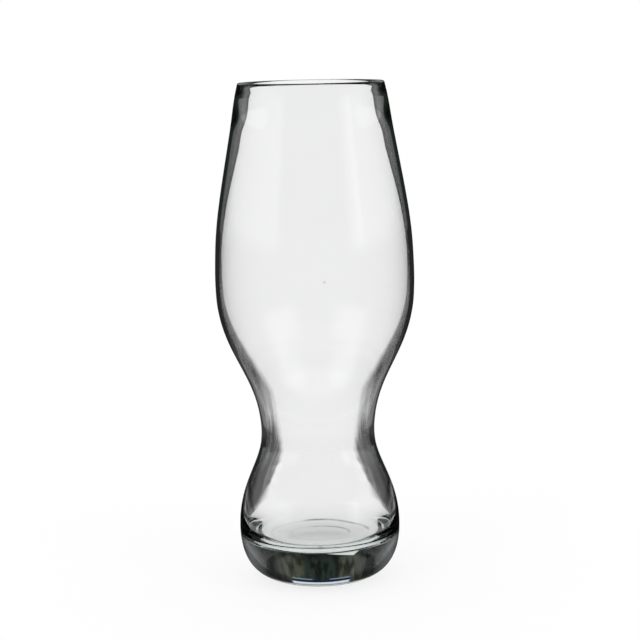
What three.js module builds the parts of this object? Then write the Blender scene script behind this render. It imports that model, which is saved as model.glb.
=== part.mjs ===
// A waisted beer glass, moulded in one piece of clear glass.
// Millimetres, +Z up. The origin is the middle of the flat foot, on the surface that the glass stands on.
import * as THREE from 'three';

// The outside: a diameter and a height for each place where the wall stands upright.
const HEIGHT = 200;
const RIM_DIAMETER = 58.2;
const BELLY_DIAMETER = 79.4;
const BELLY_HEIGHT = 120;
const WAIST_DIAMETER = 45.7;
const WAIST_HEIGHT = 59.5;
const BULB_DIAMETER = 64.9;
const BULB_HEIGHT = 21.6;
const FOOT_DIAMETER = 28;

// How far the wall runs on in the direction that it leaves each of those places, which sets how full its curve is.
const RIM_LEAN_DEGREES = 10;
const RIM_REACH = 49;
const BELLY_REACH_UP = 26.5;
const BELLY_REACH_DOWN = 28;
const WAIST_REACH_UP = 25.5;
const WAIST_REACH_DOWN = 12;
const BULB_REACH_UP = 18;
const BULB_REACH_DOWN = 14.2;
const FOOT_REACH = 12.4;

// The wall, which is thick at the rim, thin at the belly and thick again towards the base.
const RIM_WALL = 2;
const BELLY_WALL = 1.6;
const WAIST_WALL = 2;
const BULB_WALL = 1.9;

// The floor of the hollow, over the solid base.
const BASE_THICKNESS = 15.5;
const FLOOR_DIAMETER = 30;
const FLOOR_REACH = 11;
const FLOOR_CORNER_HEIGHT = 9;
const FLOOR_CORNER_REACH = 5.5;

// How finely the curves and the round are cut into flat faces.
const AROUND = 64;
const CURVE_STEPS = 7;
const LONG_CURVE_STEPS = 9;
const RIM_STEPS = 6;

// The rim is fire-polished to a half round, and the wall meets it at the height of its middle.
const RIM_ROUND = RIM_WALL / 2;
const RIM_SEAT = HEIGHT - RIM_ROUND;

// A curve between two places on the profile, each given as a radius and a height, with the reach at each end.
function wallCurve(from, fromReach, toReach, to, steps) {
  const start = new THREE.Vector2(...from);
  const end = new THREE.Vector2(...to);
  const leave = start.clone().add(new THREE.Vector2(...fromReach));
  const arrive = end.clone().add(new THREE.Vector2(...toReach));
  return new THREE.CubicBezierCurve(start, leave, arrive, end).getPoints(steps);
}

// The lean of the wall below the rim, as a step outwards and down.
function rimReach() {
  const lean = THREE.MathUtils.degToRad(RIM_LEAN_DEGREES);
  return [RIM_REACH * Math.sin(lean), -RIM_REACH * Math.cos(lean)];
}

// The wall from the bulb up to the rim, moved inwards by the thickness given at each place.
function risingWall(bulb, waistInset, bellyInset, rimInset) {
  const waist = [WAIST_DIAMETER / 2 - waistInset, WAIST_HEIGHT];
  const belly = [BELLY_DIAMETER / 2 - bellyInset, BELLY_HEIGHT];
  const rim = [RIM_DIAMETER / 2 - rimInset, RIM_SEAT];
  return [
    ...wallCurve(bulb, [0, BULB_REACH_UP], [0, -WAIST_REACH_DOWN], waist, CURVE_STEPS),
    ...wallCurve(waist, [0, WAIST_REACH_UP], [0, -BELLY_REACH_DOWN], belly, LONG_CURVE_STEPS).slice(1),
    ...wallCurve(belly, [0, BELLY_REACH_UP], rimReach(), rim, CURVE_STEPS).slice(1),
  ];
}

// The outside, from the middle of the foot up to the rim.
function outside() {
  const foot = [FOOT_DIAMETER / 2, 0];
  const bulb = [BULB_DIAMETER / 2, BULB_HEIGHT];
  return [
    new THREE.Vector2(0, 0),
    ...wallCurve(foot, [FOOT_REACH, 0], [0, -BULB_REACH_DOWN], bulb, CURVE_STEPS),
    ...risingWall(bulb, 0, 0, 0).slice(1),
  ];
}

// The inside, from the middle of its floor up to the rim.
function inside() {
  const floor = [FLOOR_DIAMETER / 2, BASE_THICKNESS];
  const corner = [BULB_DIAMETER / 2 - BULB_WALL, BASE_THICKNESS + FLOOR_CORNER_HEIGHT];
  return [
    new THREE.Vector2(0, BASE_THICKNESS),
    ...wallCurve(floor, [FLOOR_REACH, 0], [0, -FLOOR_CORNER_REACH], corner, CURVE_STEPS),
    ...risingWall(corner, WAIST_WALL, BELLY_WALL, RIM_WALL).slice(1),
  ];
}

// The half round over the rim, from the outside to the inside, without its two ends.
function rimRound() {
  const middle = RIM_DIAMETER / 2 - RIM_ROUND;
  const round = new THREE.EllipseCurve(middle, RIM_SEAT, RIM_ROUND, RIM_ROUND, 0, Math.PI);
  return round.getPoints(RIM_STEPS).slice(1, -1);
}

function clearGlass() {
  const material = new THREE.MeshStandardMaterial({ color: 0xe6e9e6, roughness: 0.03, metalness: 0 });
  material.transparent = true;
  material.opacity = 0.35;
  return material;
}

function glassBody() {
  const profile = [...outside(), ...rimRound(), ...inside().reverse()];
  const geometry = new THREE.LatheGeometry(profile, AROUND);
  geometry.rotateX(Math.PI / 2);
  const mesh = new THREE.Mesh(geometry, clearGlass());
  mesh.name = 'glass_body';
  return mesh;
}

const glass = new THREE.Group();
glass.add(glassBody());

export default glass;
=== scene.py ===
import math

import bmesh
import bpy
from mathutils import Matrix, Vector


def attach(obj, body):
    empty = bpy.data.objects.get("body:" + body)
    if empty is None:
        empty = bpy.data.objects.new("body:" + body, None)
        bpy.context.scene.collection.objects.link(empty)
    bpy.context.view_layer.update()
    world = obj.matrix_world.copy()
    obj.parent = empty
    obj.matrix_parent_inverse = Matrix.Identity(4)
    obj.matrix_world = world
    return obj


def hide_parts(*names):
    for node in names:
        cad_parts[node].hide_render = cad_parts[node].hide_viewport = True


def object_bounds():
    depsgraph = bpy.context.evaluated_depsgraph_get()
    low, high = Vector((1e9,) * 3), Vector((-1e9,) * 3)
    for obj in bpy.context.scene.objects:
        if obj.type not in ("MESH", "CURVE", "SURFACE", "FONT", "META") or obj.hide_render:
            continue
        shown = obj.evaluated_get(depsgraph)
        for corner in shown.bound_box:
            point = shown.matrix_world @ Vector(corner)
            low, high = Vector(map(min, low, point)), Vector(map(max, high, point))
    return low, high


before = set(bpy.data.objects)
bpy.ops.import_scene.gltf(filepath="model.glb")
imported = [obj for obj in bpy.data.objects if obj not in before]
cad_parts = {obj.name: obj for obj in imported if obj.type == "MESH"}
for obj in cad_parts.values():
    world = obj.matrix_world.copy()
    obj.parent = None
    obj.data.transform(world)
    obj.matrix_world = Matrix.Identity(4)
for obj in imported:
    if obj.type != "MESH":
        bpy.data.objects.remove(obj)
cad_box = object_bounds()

# The photograph's camera: it stands a little above the rim, looks down at the glass and leans to one side.
PHOTO_SIDE_PX = 640
FOCAL_LENGTH_PX = 1820
SENSOR_WIDTH_MM = 36
CAMERA_DISTANCE = 0.72
CAMERA_HEIGHT = 0.2202
CAMERA_DOWN_DEG = 9.08
CAMERA_PAN_DEG = 0.139
CAMERA_LEAN_DEG = 1.186

# How finely the glass is turned.
TURN_STEPS = 256
STEPS_BETWEEN_POINTS = 5
TURNING_CIRCLE = 0.05
WELD_DISTANCE = 1e-6

# The bead that fire polishing leaves round the inside of the rim.
BEAD_SWELLING = 0.0003
BEAD_DROP = 0.0030
BEAD_STEPS = 14
BEAD_CROWDING = 1.8

# The glass itself.
GLASS_IOR = 1.52
GLASS_TINT = (0.80, 0.86, 0.845)
GLASS_TINT_PER_METRE = 15.0
POLISH = 0.0

# Painted shade: where the far side of the inner wall turns away from the eye, the glass's colour is darkened
# to stand in for shade. By height above the table: how far it has turned away by then, from 0 face-on to 1,
# how softly it changes, and the share of light that the painted shade lets through, first just past the
# change and then further out.
PAINTED_SHADE_BY_HEIGHT = (
    (0.0210, 1.20, 0.010, 0.40, 0.25), (0.0222, 0.50, 0.050, 0.40, 0.22), (0.026, 0.385, 0.110, 0.15, 0.05),
    (0.031, 0.36, 0.050, 0.20, 0.035), (0.035, 0.345, 0.015, 0.22, 0.035), (0.042, 0.385, 0.02, 0.25, 0.06),
    (0.050, 0.40, 0.040, 0.28, 0.14), (0.058, 0.39, 0.090, 0.30, 0.14), (0.066, 0.40, 0.100, 0.65, 0.60),
    (0.074, 0.38, 0.080, 0.60, 0.45), (0.083, 0.517, 0.090, 0.25, 0.10), (0.094, 0.587, 0.050, 0.30, 0.28),
    (0.104, 0.66, 0.030, 0.35, 0.35), (0.115, 0.735, 0.015, 0.45, 0.50), (0.134, 0.79, 0.010, 0.20, 0.20),
    (0.153, 0.73, 0.008, 0.05, 0.23), (0.173, 0.60, 0.008, 0.03, 0.20), (0.195, 0.585, 0.008, 0.02, 0.18),
)
PAINTED_SHADE_SPREAD = 0.15

# Small marks of its making: two rings in the inner floor that show most on one side, one tiny seed bubble,
# and a slight waviness low down.
FLOOR_RINGS = (0.0122, 0.0203)
FLOOR_RING_HALF_WIDTH = 0.0006
FLOOR_RING_TOP = 0.0195
FLOOR_RING_DARKENING = 0.65
RING_STRONG_SIDE = (0.545, 0.839)
RING_STRONG_EDGES = (0.45, 0.80)
RING_FAINT_SHARE = 0.12
RING_PATCHES_PER_METRE = 90.0
RING_PATCH_EDGES = (0.35, 0.60)
RING_PATCH_SHARES = (0.4, 0.6)
SEED_PLACE = (0.0036, -0.0395, 0.1258)
SEED_EDGES = (0.00015, 0.00045)
SEED_DARKENING = 0.5
WAVES_PER_METRE = 70.0
WAVE_HEIGHT = 0.00004
WAVES_END = (0.045, 0.070)

# Fine lighter streaks in the painted shade that run up the inner wall low down. They show only within it.
STREAK_CROWDING = 17.0
STREAK_STRETCH = 4.0
STREAK_EDGES = (0.40, 0.64)
STREAK_SHARES = (0.75, 0.85)
STREAKS_END = (0.045, 0.090)

# The table. It is white to the eye. Where the glass mirrors it, it glows with painted light and shade,
# whose brightness goes by the distance from the middle of the glass, once for the outside of the glass, once
# for the inside of its wall and once for the far side of its hollow.
TABLE_RADIUS = 4.0
TABLE_SEGMENTS = 96
TABLE_DROP = 0.0002
TABLE_GREY = 0.9
SHADOW_SHARE = 0.2
SHADOW_RADIUS = 0.3
PAINTED_LIGHT_RADIUS = 1.4
PAINTED_LIGHT_OFF_OUTSIDE = (
    (0.060, 0.05), (0.080, 0.010), (0.180, 0.010), (0.200, 0.06), (0.290, 0.06), (0.320, 0.02),
)
PAINTED_LIGHT_IN_WALL = (
    (0.072, 0.87), (0.082, 0.10), (0.112, 0.06), (0.117, 0.45), (0.127, 0.45), (0.133, 0.15), (0.146, 0.15),
    (0.152, 0.40), (0.176, 0.38), (0.188, 0.22), (0.231, 0.22), (0.245, 0.05), (0.400, 0.02),
)
PAINTED_LIGHT_ACROSS_HOLLOW = ((0.120, 0.06), (0.160, 0.10), (0.450, 0.10), (0.600, 0.15))

# The room round the table. The eye sees it white, and what the glass mirrors or bends far aside is dark with
# panels in it. Angles are in degrees, sideways from straight behind the glass or upwards from the level.
WHITE = (1.0, 1.0, 1.0)
DARK_ROOM = (0.014, 0.019, 0.015)
SIDE_PANEL_LEVEL = 1.0
SIDE_PANEL_START = (44, 70)
SIDE_PANEL_END = (132, 144)
SIDE_PANEL_HEIGHT = (1, 19, 4)
BRIGHT_PANEL_LEVEL = 0.8
BRIGHT_PANEL = (120, 128, 4)
REAR_PANEL_LEVEL = 0.5
REAR_PANEL = (-1, 42, 3)
REAR_PANEL_HEIGHT = (7, 70, 1)
WINDOW_LEVEL = 0.85
WINDOW = (-1, 100, 5)
WINDOW_HEIGHT = (24, 50, 1)
HAZE_LEVEL = 0.14
HAZE = (30, 62, 4)
HAZE_HEIGHT = (-8, 24, 3)
HOLLOW_ROOM_LEVEL = 0.12
FRONT_PANEL_LEVEL = 0.75
FRONT_PANEL = (105, 152, 14)
FRONT_PANEL_HEIGHT = (18, 40, 6)

# The room as it shows through the solid base, where it is nearly dark, with a pale ledge low down on one side
# and bright windows above, whose lower edges have a blue fringe.
BASE_ROOM = (
    (0, (0.012, 0.019, 0.015)), (8, (0.013, 0.020, 0.016)), (11, (0.042, 0.047, 0.031)),
    (22, (0.036, 0.040, 0.026)), (27, (0.006, 0.007, 0.005)), (36, (0.008, 0.009, 0.008)),
    (44, (0.085, 0.084, 0.084)), (60, (0.200, 0.195, 0.205)),
)
BASE_ROOM_REACH = 90
BASE_STREAKS_PER_DEG = 0.30
BASE_STREAK_STRETCH = 0.35
BASE_STREAK_EDGES = (0.35, 0.65)
BASE_STREAK_SHARES = (0.30, 1.4)
BASE_STREAKS_END = (28, 42)
BASE_DARK_TOP = (1, 10, 0.75)
BASE_WINDOWS_APART = 90
BASE_WINDOW = (-1, 17, 1)
BASE_LINE_COLOUR = (0.22, 0.28, 0.38)
BASE_LINE = (5, 17, 1)
BASE_LINE_HEIGHT = (18.5, 19.2, 0.2)
BASE_FRINGE_COLOUR = (0.002, 0.012, 0.045)
BASE_FRINGE_EDGES = (19.0, 19.4)
BASE_WINDOW_COLOUR = (0.86, 0.89, 0.94)
BASE_WINDOW_EDGES = (20.6, 21.4)
BASE_LEDGE_COLOUR = (0.80, 0.82, 0.78)
BASE_LEDGE = (-22.5, -4.0, 0.5)
BASE_LEDGE_TOP = (1.5, 1.9)
BASE_LEDGE_SLOPE = 0.2

# The lamps: a name, a width and height, a place, and a brightness. All face the middle of the glass.
LAMP_AIM = (0.0, 0.0, 0.12)
SOFTBOXES = (
    ("softbox_left", (0.5, 0.9), (-0.75, -0.85, 0.75), 1.6),
    ("softbox_right", (0.35, 0.9), (0.8, -0.7, 0.75), 1.6),
    ("softbox_behind", (0.7, 0.35), (0.0, 1.5, 0.75), 1.4),
)


class Shade:
    """One output of a node, which can stand in a sum like a number."""

    def __init__(self, tree, socket):
        self.tree = tree
        self.socket = socket

    def sum_with(self, operation, first, second):
        return self.tree.node("ShaderNodeMath", {"operation": operation}, {0: first, 1: second})

    def __add__(self, other):
        return self.sum_with("ADD", self, other)

    def __radd__(self, other):
        return self.sum_with("ADD", other, self)

    def __sub__(self, other):
        return self.sum_with("SUBTRACT", self, other)

    def __rsub__(self, other):
        return self.sum_with("SUBTRACT", other, self)

    def __mul__(self, other):
        return self.sum_with("MULTIPLY", self, other)

    def __rmul__(self, other):
        return self.sum_with("MULTIPLY", other, self)

    def __truediv__(self, other):
        return self.sum_with("DIVIDE", self, other)

    def __gt__(self, other):
        return self.sum_with("GREATER_THAN", self, other)

    def __lt__(self, other):
        return self.sum_with("LESS_THAN", self, other)


class Nodes:
    """A material's or the world's node tree, filled one node at a time."""

    def __init__(self, tree):
        self.tree = tree
        tree.nodes.clear()

    def node(self, kind, settings=None, sockets=None, output=0):
        made = self.tree.nodes.new(kind)
        for name, value in (settings or {}).items():
            if name == "stops":
                self.set_stops(made.color_ramp, value)
            else:
                setattr(made, name, value)
        for name, value in (sockets or {}).items():
            if isinstance(value, Shade):
                self.tree.links.new(value.socket, made.inputs[name])
            else:
                made.inputs[name].default_value = value
        return Shade(self, made.outputs[output]) if made.outputs else None

    def set_stops(self, ramp, stops):
        while len(ramp.elements) < len(stops):
            ramp.elements.new(1.0)
        for element, (place, level) in zip(ramp.elements, stops):
            element.position = place
            element.color = (*level, 1.0) if isinstance(level, tuple) else (level, level, level, 1.0)

    def ramp(self, value, stops, reach):
        """A level or colour by a value, from stops that run from 0 to the reach."""
        placed = [(place / reach, level) for place, level in stops]
        return self.node("ShaderNodeValToRGB", {"stops": placed}, {"Fac": value / reach})

    def between(self, value, band):
        """1 between two limits and 0 outside them, with soft changes."""
        low, high, soft = band
        risen = self.smooth_step(value, low - soft, low + soft)
        return risen * (1 - self.smooth_step(value, high - soft, high + soft))

    def mix(self, share, first, second):
        """A colour that goes from the first to the second as the share goes from 0 to 1."""
        sockets = {"Factor": share}
        for name, colour in (("A", first), ("B", second)):
            sockets[name] = colour if isinstance(colour, Shade) else (*colour, 1.0)
        settings = {"data_type": "RGBA", "clamp_factor": False}
        return self.node("ShaderNodeMix", settings, sockets, output="Result")

    def ray_kinds(self):
        """What kind of ray looks, each 1 or 0: one mirrored off the outside of the glass, one mirrored inside
        its wall, one mirrored across its hollow, or one let through its solid base."""
        # The depths count mirrorings and surfaces crossed, and are tested half-way between whole numbers.
        mirrored = self.node("ShaderNodeLightPath", output="Glossy Depth") > 0.5
        surfaces = self.node("ShaderNodeLightPath", output="Transmission Depth")
        entered = surfaces > 0.5
        crossed = surfaces > 2.5
        return (mirrored * (1 - entered), mirrored * entered * (1 - crossed), mirrored * crossed,
                (1 - mirrored) * entered * (1 - crossed))

    def smooth_step(self, value, low, high):
        """0 below low and 1 above high, with a soft change between them."""
        return self.node("ShaderNodeMapRange", {"interpolation_type": "SMOOTHSTEP"},
                         {"Value": value, "From Min": low, "From Max": high})

    def outputs(self, kind, settings=None, sockets=None):
        """Every output of a new node."""
        first = self.node(kind, settings, sockets)
        return [Shade(self, socket) for socket in first.socket.node.outputs]

    def split(self, vector):
        """The three parts of a vector."""
        return self.outputs("ShaderNodeSeparateXYZ", {}, {0: vector})


def make_camera():
    data = bpy.data.cameras.new("camera")
    data.sensor_width = SENSOR_WIDTH_MM
    data.lens = FOCAL_LENGTH_PX / PHOTO_SIDE_PX * SENSOR_WIDTH_MM
    camera = bpy.data.objects.new("camera", data)
    bpy.context.collection.objects.link(camera)
    place = Matrix.Translation((0.0, -CAMERA_DISTANCE, CAMERA_HEIGHT))
    pan = Matrix.Rotation(math.radians(-CAMERA_PAN_DEG), 4, "Z")
    tilt = Matrix.Rotation(math.radians(90 - CAMERA_DOWN_DEG), 4, "X")
    lean = Matrix.Rotation(math.radians(-CAMERA_LEAN_DEG), 4, "Z")
    camera.matrix_world = place @ pan @ tilt @ lean
    bpy.context.scene.camera = camera


def read_outline(node):
    """The points of the frame's glass on one side of its axis, from the middle of the foot round the rim to
    the middle of the floor."""
    on_plane = 1e-6
    solid = bmesh.new()
    solid.from_mesh(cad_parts[node].data)
    bmesh.ops.remove_doubles(solid, verts=solid.verts, dist=WELD_DISTANCE)
    ring = {v for v in solid.verts if abs(v.co.y) < on_plane and v.co.x > -on_plane}
    point = min(ring, key=lambda v: (v.co.z, v.co.x))
    outline = []
    while point is not None:
        outline.append(Vector((point.co.x, 0.0, point.co.z)))
        ring.discard(point)
        near = [e.other_vert(point) for e in point.link_edges if e.other_vert(point) in ring]
        point = min(near, key=lambda v: (v.co - outline[-1]).length) if near else None
    solid.free()
    return outline


def smooth_outline(points):
    """A curve through the outline's points, straight only across the foot and across the floor."""
    last = len(points) - 2
    slopes = []
    for i in range(1, last + 1):
        before, here, after = points[i - 1], points[i], points[i + 1]
        if i == 1:
            slopes.append((here - before).normalized())
        elif i == last:
            slopes.append((after - here).normalized())
        else:
            back, ahead = here - before, after - here
            mixed = back / back.length * ahead.length + ahead / ahead.length * back.length
            slopes.append(mixed.normalized())
    smooth = [points[0]]
    bead_foot = max(p.z for p in points) - BEAD_DROP
    for i in range(1, last):
        start, end = points[i], points[i + 1]
        reach = (end - start).length
        steps, crowding = STEPS_BETWEEN_POINTS, 1.0
        if end.z < bead_foot < start.z:
            steps, crowding = BEAD_STEPS, BEAD_CROWDING
        for step in range(steps):
            t = (step / steps) ** crowding
            smooth.append(
                (2 * t**3 - 3 * t**2 + 1) * start + (t**3 - 2 * t**2 + t) * reach * slopes[i - 1]
                + (3 * t**2 - 2 * t**3) * end + (t**3 - t**2) * reach * slopes[i])
    smooth.extend(points[last:])

    # Between the frame's facets the curve swells out a little, so it is drawn in to the frame's own width.
    drawn_in = max(p.x for p in points) / max(p.x for p in smooth)
    return [Vector((p.x * drawn_in, 0.0, p.z)) for p in smooth]


def with_bead(points):
    """The outline with its inside swollen a little just below the rim."""
    top = max(range(len(points)), key=lambda i: points[i].z)
    beaded = points[:top]
    for point in points[top:]:
        drop = min(points[top].z - point.z, BEAD_DROP)
        swelling = BEAD_SWELLING * math.sin(math.pi * drop / BEAD_DROP) ** 2
        beaded.append(point - Vector((swelling, 0.0, 0.0)))
    return beaded


def outline_mesh(points):
    """The outline as a chain of edges that knows which of its points lie on the inside of the glass."""
    mesh = bpy.data.meshes.new("glass_outline")
    mesh.from_pydata(points, [(i, i + 1) for i in range(len(points) - 1)], [])
    top = max(range(len(points)), key=lambda i: points[i].z)
    inside = mesh.attributes.new("inside", "FLOAT", "POINT")
    for i in range(len(points)):
        inside.data[i].value = 1.0 if i > top else 0.0
    return mesh


def turning_tree():
    """Geometry nodes that turn an outline in the XZ plane about the Z axis into a closed body."""
    tree = bpy.data.node_groups.new("turn_outline", "GeometryNodeTree")
    face = tree.interface
    face.new_socket("Outline", in_out="INPUT", socket_type="NodeSocketGeometry")
    face.new_socket("Turn steps", in_out="INPUT", socket_type="NodeSocketInt")
    face.new_socket("Turning circle", in_out="INPUT", socket_type="NodeSocketFloat")
    face.new_socket("Weld distance", in_out="INPUT", socket_type="NodeSocketFloat")
    face.new_socket("Material", in_out="INPUT", socket_type="NodeSocketMaterial")
    face.new_socket("Body", in_out="OUTPUT", socket_type="NodeSocketGeometry")
    nodes = Nodes(tree)
    outline, steps, radius, weld_distance, material = nodes.outputs("NodeGroupInput")[:5]

    # A swept profile stands in its own plane with its foot up, measured from the circle that it follows.
    x, _, z = nodes.split(nodes.node("GeometryNodeInputPosition"))
    flat = nodes.node("ShaderNodeCombineXYZ", {}, {"X": x - radius, "Y": 0.0 - z})
    laid = nodes.node("GeometryNodeSetPosition", {}, {"Geometry": outline, "Position": flat})
    profile = nodes.node("GeometryNodeMeshToCurve", {}, {"Mesh": laid})

    circle = nodes.node("GeometryNodeCurvePrimitiveCircle", {}, {"Resolution": steps, "Radius": radius})
    upright = nodes.node("GeometryNodeSetCurveNormal", {"mode": "Z_UP"}, {"Curve": circle})
    swept = nodes.node("GeometryNodeCurveToMesh", {}, {"Curve": upright, "Profile Curve": profile})
    closed = nodes.node("GeometryNodeMergeByDistance", {}, {"Geometry": swept, "Distance": weld_distance})
    smooth = nodes.node("GeometryNodeSetShadeSmooth", {}, {"Geometry": closed})
    real = nodes.node("GeometryNodeRealizeInstances", {}, {"Geometry": smooth})
    made = nodes.node("GeometryNodeSetMaterial", {}, {"Geometry": real, "Material": material})
    nodes.node("NodeGroupOutput", {}, {"Body": made})
    return tree


def turned_body(name, outline, material):
    """A plain closed mesh of the outline turned about the axis of the glass."""
    source = bpy.data.objects.new(name + "_outline", outline_mesh(outline))
    bpy.context.collection.objects.link(source)
    modifier = source.modifiers.new("turn", "NODES")
    modifier.node_group = turning_tree()
    wanted = {"Turn steps": TURN_STEPS, "Turning circle": TURNING_CIRCLE,
              "Weld distance": WELD_DISTANCE, "Material": material}
    for item in modifier.node_group.interface.items_tree:
        if item.in_out == "INPUT" and item.name in wanted:
            modifier[item.identifier] = wanted[item.name]
    graph = bpy.context.evaluated_depsgraph_get()
    mesh = bpy.data.meshes.new_from_object(source.evaluated_get(graph), depsgraph=graph)
    bpy.data.objects.remove(source)
    mesh.name = name
    face_outwards(mesh)
    body = bpy.data.objects.new(name, mesh)
    bpy.context.collection.objects.link(body)
    return body


def face_outwards(mesh):
    """Turns every face the same way round, with the enclosed volume inside."""
    work = bmesh.new()
    work.from_mesh(mesh)
    bmesh.ops.recalc_face_normals(work, faces=work.faces)
    if work.calc_volume(signed=True) < 0:
        bmesh.ops.reverse_faces(work, faces=work.faces)
    work.to_mesh(mesh)
    work.free()


def clear_glass():
    """Clear polished glass, faintly greyish green, with painted shade where the inner wall turns away."""
    material = bpy.data.materials.new("polished_clear_glass")
    material.use_nodes = True
    nodes = Nodes(material.node_tree)
    place = nodes.node("ShaderNodeTexCoord", output="Object")
    height = nodes.split(place)[2]
    inside = nodes.node("ShaderNodeAttribute", {"attribute_name": "inside"}, output="Fac")

    # The height above the table is read on ramps that run from the foot to the rim.
    top = cad_box[1][2]
    # The painted shade is set by height: where it starts, how softly, and how much light it lets through.
    stops = [(z, (facing / 2, softness, 0.0)) for z, facing, softness, _, _ in PAINTED_SHADE_BY_HEIGHT]
    half_limit, softness, _ = nodes.split(nodes.ramp(height, stops, top))
    tones = [(z, (near, far, 0.0)) for z, _, _, near, far in PAINTED_SHADE_BY_HEIGHT]
    near_tone, far_tone, _ = nodes.split(nodes.ramp(height, tones, top))
    limit = half_limit * 2
    # Painted shade: the colour darkens where the inner wall turns away from the eye.
    turned_away = nodes.node("ShaderNodeLayerWeight", {}, {"Blend": 0.5}, output="Facing")
    painted_shade_mask = nodes.smooth_step(turned_away, limit - softness, limit + softness) * inside
    further = nodes.smooth_step(turned_away, limit, limit + PAINTED_SHADE_SPREAD)
    plain_tone = near_tone + (far_tone - near_tone) * further
    streaked_tone = plain_tone * painted_shade_streaks(nodes, place)
    tone = nodes.node("ShaderNodeMath", {"operation": "MINIMUM"}, {0: streaked_tone, 1: 1.0})
    # The share of light let through: the painted shade times the real mould rings and seed bubble.
    shade = (1 - painted_shade_mask * (1 - tone)) * floor_rings(nodes, place, height, inside) * seed_bubble(nodes, place)

    # Light that crosses the surface keeps the root of its colour, so the colour is the square of the share.
    squared = shade * shade
    marks_and_painted_shade = nodes.node("ShaderNodeCombineColor", {}, {"Red": squared, "Green": squared, "Blue": squared})

    waves = nodes.node("ShaderNodeTexNoise", {}, {"Vector": place, "Scale": WAVES_PER_METRE, "Detail": 1.0},
                       output="Fac")
    low_down = 1 - nodes.smooth_step(height, *WAVES_END)
    wavy = nodes.node("ShaderNodeBump", {}, {"Distance": WAVE_HEIGHT, "Height": waves * low_down})
    surface = nodes.node("ShaderNodeBsdfPrincipled", {}, {
        "Base Color": marks_and_painted_shade, "Roughness": POLISH, "IOR": GLASS_IOR, "Transmission Weight": 1.0,
        "Normal": wavy})
    body = nodes.node("ShaderNodeVolumeAbsorption", {}, {
        "Color": (*GLASS_TINT, 1.0), "Density": GLASS_TINT_PER_METRE})
    nodes.node("ShaderNodeOutputMaterial", {}, {"Surface": surface, "Volume": body})
    return material


def painted_shade_streaks(nodes, place):
    """How many times lighter the painted shade of the low wall is along fine streaks that run up it."""
    across, along, height = nodes.split(place)
    level_place = nodes.node("ShaderNodeCombineXYZ", {}, {"X": across, "Y": along})
    way_out = nodes.node("ShaderNodeVectorMath", {"operation": "NORMALIZE"}, {0: level_place})
    side_x, side_y, _ = nodes.split(way_out)
    drawn_up = nodes.node("ShaderNodeCombineXYZ", {},
                          {"X": side_x, "Y": side_y, "Z": height * STREAK_STRETCH})
    noise = nodes.node("ShaderNodeTexNoise", {},
                       {"Vector": drawn_up, "Scale": STREAK_CROWDING, "Detail": 1.0}, output="Fac")
    least, more = STREAK_SHARES
    streaks = nodes.smooth_step(noise, *STREAK_EDGES) * more + least
    low_down = 1 - nodes.smooth_step(height, *STREAKS_END)
    return 1 + (streaks - 1) * low_down


def floor_rings(nodes, place, height, inside):
    """The share of light that passes the inner floor, less along its two mould rings, which are faint away
    from their strong side and fainter in parts."""
    across, along, _ = nodes.split(place)
    level_place = nodes.node("ShaderNodeCombineXYZ", {}, {"X": across, "Y": along})
    radius = nodes.node("ShaderNodeVectorMath", {"operation": "LENGTH"}, {0: level_place}, output="Value")
    half = FLOOR_RING_HALF_WIDTH
    inner, outer = FLOOR_RINGS
    rings = nodes.between(radius, (inner - half, inner + half, half)) + nodes.between(
        radius, (outer - half, outer + half, half))
    patches = nodes.node("ShaderNodeTexNoise", {}, {"Vector": place, "Scale": RING_PATCHES_PER_METRE},
                         output="Fac")
    side_x, side_y = RING_STRONG_SIDE
    facing_side = (across * side_x + along * side_y) / radius
    on_strong_side = nodes.smooth_step(facing_side, *RING_STRONG_EDGES)
    strength = RING_FAINT_SHARE + on_strong_side * (1 - RING_FAINT_SHARE)
    least, more = RING_PATCH_SHARES
    broken = nodes.smooth_step(patches, *RING_PATCH_EDGES) * more + least
    on_floor = inside * (height < FLOOR_RING_TOP)
    return 1 - rings * strength * broken * on_floor * FLOOR_RING_DARKENING


def seed_bubble(nodes, place):
    """The share of light that passes a tiny bubble in the front of the bowl."""
    away = nodes.node("ShaderNodeVectorMath", {"operation": "DISTANCE"}, {0: place, 1: SEED_PLACE},
                      output="Value")
    return 1 - (1 - nodes.smooth_step(away, *SEED_EDGES)) * SEED_DARKENING


def make_glass():
    outline = with_bead(smooth_outline(read_outline("glass_body")))
    glass = turned_body("glass", outline, clear_glass())
    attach(glass, "root")
    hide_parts("glass_body")


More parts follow.
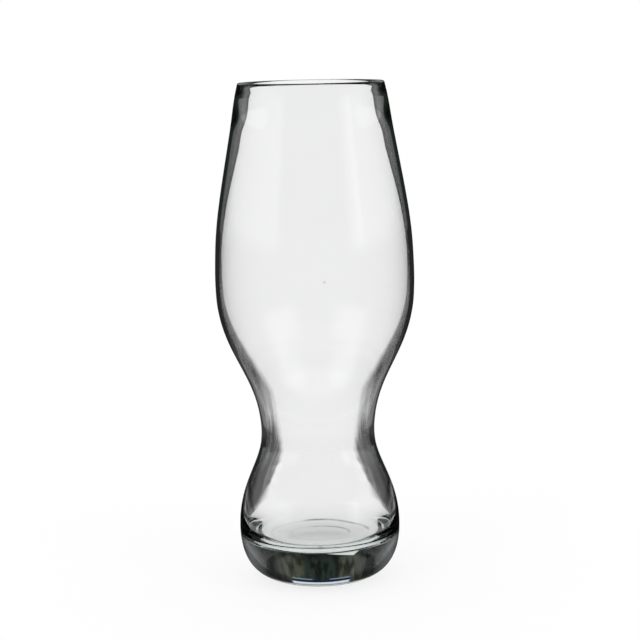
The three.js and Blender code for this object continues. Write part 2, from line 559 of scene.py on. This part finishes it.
def make_table():
    """A pale round table: white to the eye, with a soft shadow, and painted rings of light and shade in what
    the glass mirrors of it.
    """
    mesh = bpy.data.meshes.new("table")
    work = bmesh.new()
    bmesh.ops.create_circle(work, cap_ends=True, segments=TABLE_SEGMENTS, radius=TABLE_RADIUS)
    work.to_mesh(mesh)
    work.free()
    for vertex in mesh.vertices:
        vertex.co.z -= TABLE_DROP
    table = bpy.data.objects.new("table", mesh)
    bpy.context.collection.objects.link(table)

    material = bpy.data.materials.new("pale_table")
    material.use_nodes = True
    nodes = Nodes(material.node_tree)
    place = nodes.node("ShaderNodeTexCoord", output="Object")
    distance = nodes.node("ShaderNodeVectorMath", {"operation": "LENGTH"}, {0: place}, output="Value")
    off_outside, in_wall, across_hollow, _ = nodes.ray_kinds()
    # Painted light and shade: rings that glow by distance from the glass, seen only in what the glass
    # mirrors.
    painted_light_level = (off_outside * nodes.ramp(distance, PAINTED_LIGHT_OFF_OUTSIDE, PAINTED_LIGHT_RADIUS)
                  + in_wall * nodes.ramp(distance, PAINTED_LIGHT_IN_WALL, PAINTED_LIGHT_RADIUS)
                  + across_hollow * nodes.ramp(distance, PAINTED_LIGHT_ACROSS_HOLLOW, PAINTED_LIGHT_RADIUS))
    painted_light = nodes.node("ShaderNodeEmission", {}, {"Color": painted_light_level})
    lit = nodes.node("ShaderNodeBsdfDiffuse", {}, {"Color": (TABLE_GREY, TABLE_GREY, TABLE_GREY, 1.0)})
    white = nodes.node("ShaderNodeEmission")
    shadowed = (1 - nodes.smooth_step(distance, 0.0, SHADOW_RADIUS)) * SHADOW_SHARE
    seen = nodes.node("ShaderNodeMixShader", {}, {0: shadowed, 1: white, 2: lit})
    mirrored = off_outside + in_wall + across_hollow
    finish = nodes.node("ShaderNodeMixShader", {}, {0: mirrored, 1: seen, 2: painted_light})
    nodes.node("ShaderNodeOutputMaterial", {}, {"Surface": finish})
    table.data.materials.append(material)


def in_degrees(nodes, operation, *sides):
    """An angle from an arc function of one or two numbers."""
    return nodes.node("ShaderNodeMath", {"operation": operation}, dict(enumerate(sides))) * (180 / math.pi)


def make_room():
    """White all round to the eye. What the glass mirrors or bends aside is a dark room with pale panels."""
    world = bpy.data.worlds.new("room")
    world.use_nodes = True
    bpy.context.scene.world = world
    nodes = Nodes(world.node_tree)
    direction = nodes.node("ShaderNodeTexCoord", output="Generated")
    right, back, up = nodes.split(direction)
    height = in_degrees(nodes, "ARCSINE", up)
    round_to_right = in_degrees(nodes, "ARCTAN2", right, back)
    aside = nodes.node("ShaderNodeMath", {"operation": "ABSOLUTE"}, {0: round_to_right})

    # The windows that show through the base stand round the glass at even distances.
    half_way = BASE_WINDOWS_APART / 2
    from_window = nodes.node("ShaderNodeMath", {"operation": "PINGPONG"}, {0: aside, 1: half_way})

    high_enough = nodes.between(height, SIDE_PANEL_HEIGHT)
    begun = nodes.smooth_step(aside, *SIDE_PANEL_START)
    panel = begun * (1 - nodes.smooth_step(aside, *SIDE_PANEL_END)) * high_enough
    bright = nodes.between(round_to_right, BRIGHT_PANEL) * high_enough
    rear = nodes.between(aside, REAR_PANEL) * nodes.between(height, REAR_PANEL_HEIGHT)
    outside_room = panel * SIDE_PANEL_LEVEL + bright * BRIGHT_PANEL_LEVEL + rear * REAR_PANEL_LEVEL

    haze = nodes.between(aside, HAZE) * nodes.between(height, HAZE_HEIGHT)
    window = nodes.between(aside, WINDOW) * nodes.between(height, WINDOW_HEIGHT)
    wall_room = window * WINDOW_LEVEL + haze * HAZE_LEVEL
    front_panel = nodes.between(aside, FRONT_PANEL) * nodes.between(height, FRONT_PANEL_HEIGHT)
    hollow_room = front_panel * FRONT_PANEL_LEVEL + HOLLOW_ROOM_LEVEL

    off_outside, in_wall, across_hollow, through_base = nodes.ray_kinds()
    mirrored = off_outside + in_wall + across_hollow
    level = off_outside * outside_room + in_wall * wall_room + across_hollow * hollow_room
    mirrored_room = nodes.mix(level, DARK_ROOM, WHITE)
    colour = nodes.mix(mirrored, WHITE, mirrored_room)
    room_in_base = base_room(nodes, height, round_to_right, from_window)
    colour = nodes.mix(through_base * (up > 0.0), colour, room_in_base)
    light = nodes.node("ShaderNodeBackground", {}, {"Color": colour})
    nodes.node("ShaderNodeOutputWorld", {}, {"Surface": light})


def base_room(nodes, height, round_to_right, from_window):
    """The room as the solid base bends it: dark with faint streaks, a pale ledge, and windows whose lower
    edges are blue."""
    aside = nodes.node("ShaderNodeMath", {"operation": "ABSOLUTE"}, {0: round_to_right})
    place = nodes.node("ShaderNodeCombineXYZ", {},
                       {"X": round_to_right, "Y": height * BASE_STREAK_STRETCH})
    noise = nodes.node("ShaderNodeTexNoise", {"noise_dimensions": "2D"},
                       {"Vector": place, "Scale": BASE_STREAKS_PER_DEG, "Detail": 2.0}, output="Fac")
    least, more = BASE_STREAK_SHARES
    streaks = nodes.smooth_step(noise, *BASE_STREAK_EDGES) * more + least
    streaks = 1 + (streaks - 1) * (1 - nodes.smooth_step(aside, *BASE_STREAKS_END))
    low, high, darkening = BASE_DARK_TOP
    dark_top = 1 - (1 - nodes.smooth_step(height, low, high)) * darkening
    room = nodes.ramp(aside, BASE_ROOM, BASE_ROOM_REACH)
    room = nodes.node("ShaderNodeVectorMath", {"operation": "SCALE"},
                      {0: room, "Scale": streaks * dark_top})

    # The ledge's top and its two ends slope.
    under_top = 1 - nodes.smooth_step(height - aside * BASE_LEDGE_SLOPE, *BASE_LEDGE_TOP)
    ledge = nodes.between(round_to_right - height, BASE_LEDGE) * under_top
    room = nodes.mix(ledge, room, BASE_LEDGE_COLOUR)

    line = nodes.between(from_window, BASE_LINE) * nodes.between(height, BASE_LINE_HEIGHT)
    room = nodes.mix(line, room, BASE_LINE_COLOUR)
    window = nodes.between(from_window, BASE_WINDOW)
    fringe = nodes.smooth_step(height, *BASE_FRINGE_EDGES) * window
    room = nodes.mix(fringe, room, BASE_FRINGE_COLOUR)
    bright = nodes.smooth_step(height, *BASE_WINDOW_EDGES) * window
    return nodes.mix(bright, room, BASE_WINDOW_COLOUR)


def add_softbox(name, size, place, radiance):
    """A flat lamp of a given brightness that faces the glass and isn't seen itself."""
    width, height = size
    data = bpy.data.lights.new(name, "AREA")
    data.shape = "RECTANGLE"
    data.size = width
    data.size_y = height
    data.energy = radiance * math.pi * width * height
    lamp = bpy.data.objects.new(name, data)
    bpy.context.collection.objects.link(lamp)
    lamp.location = place
    lamp.rotation_euler = (Vector(LAMP_AIM) - Vector(place)).to_track_quat("-Z", "Y").to_euler()
    lamp.visible_camera = False
    lamp.visible_glossy = False
    lamp.visible_transmission = False


scene = bpy.context.scene
scene.view_settings.view_transform = "Standard"
make_camera()
make_glass()
make_table()
make_room()
for softbox in SOFTBOXES:
    add_softbox(*softbox)
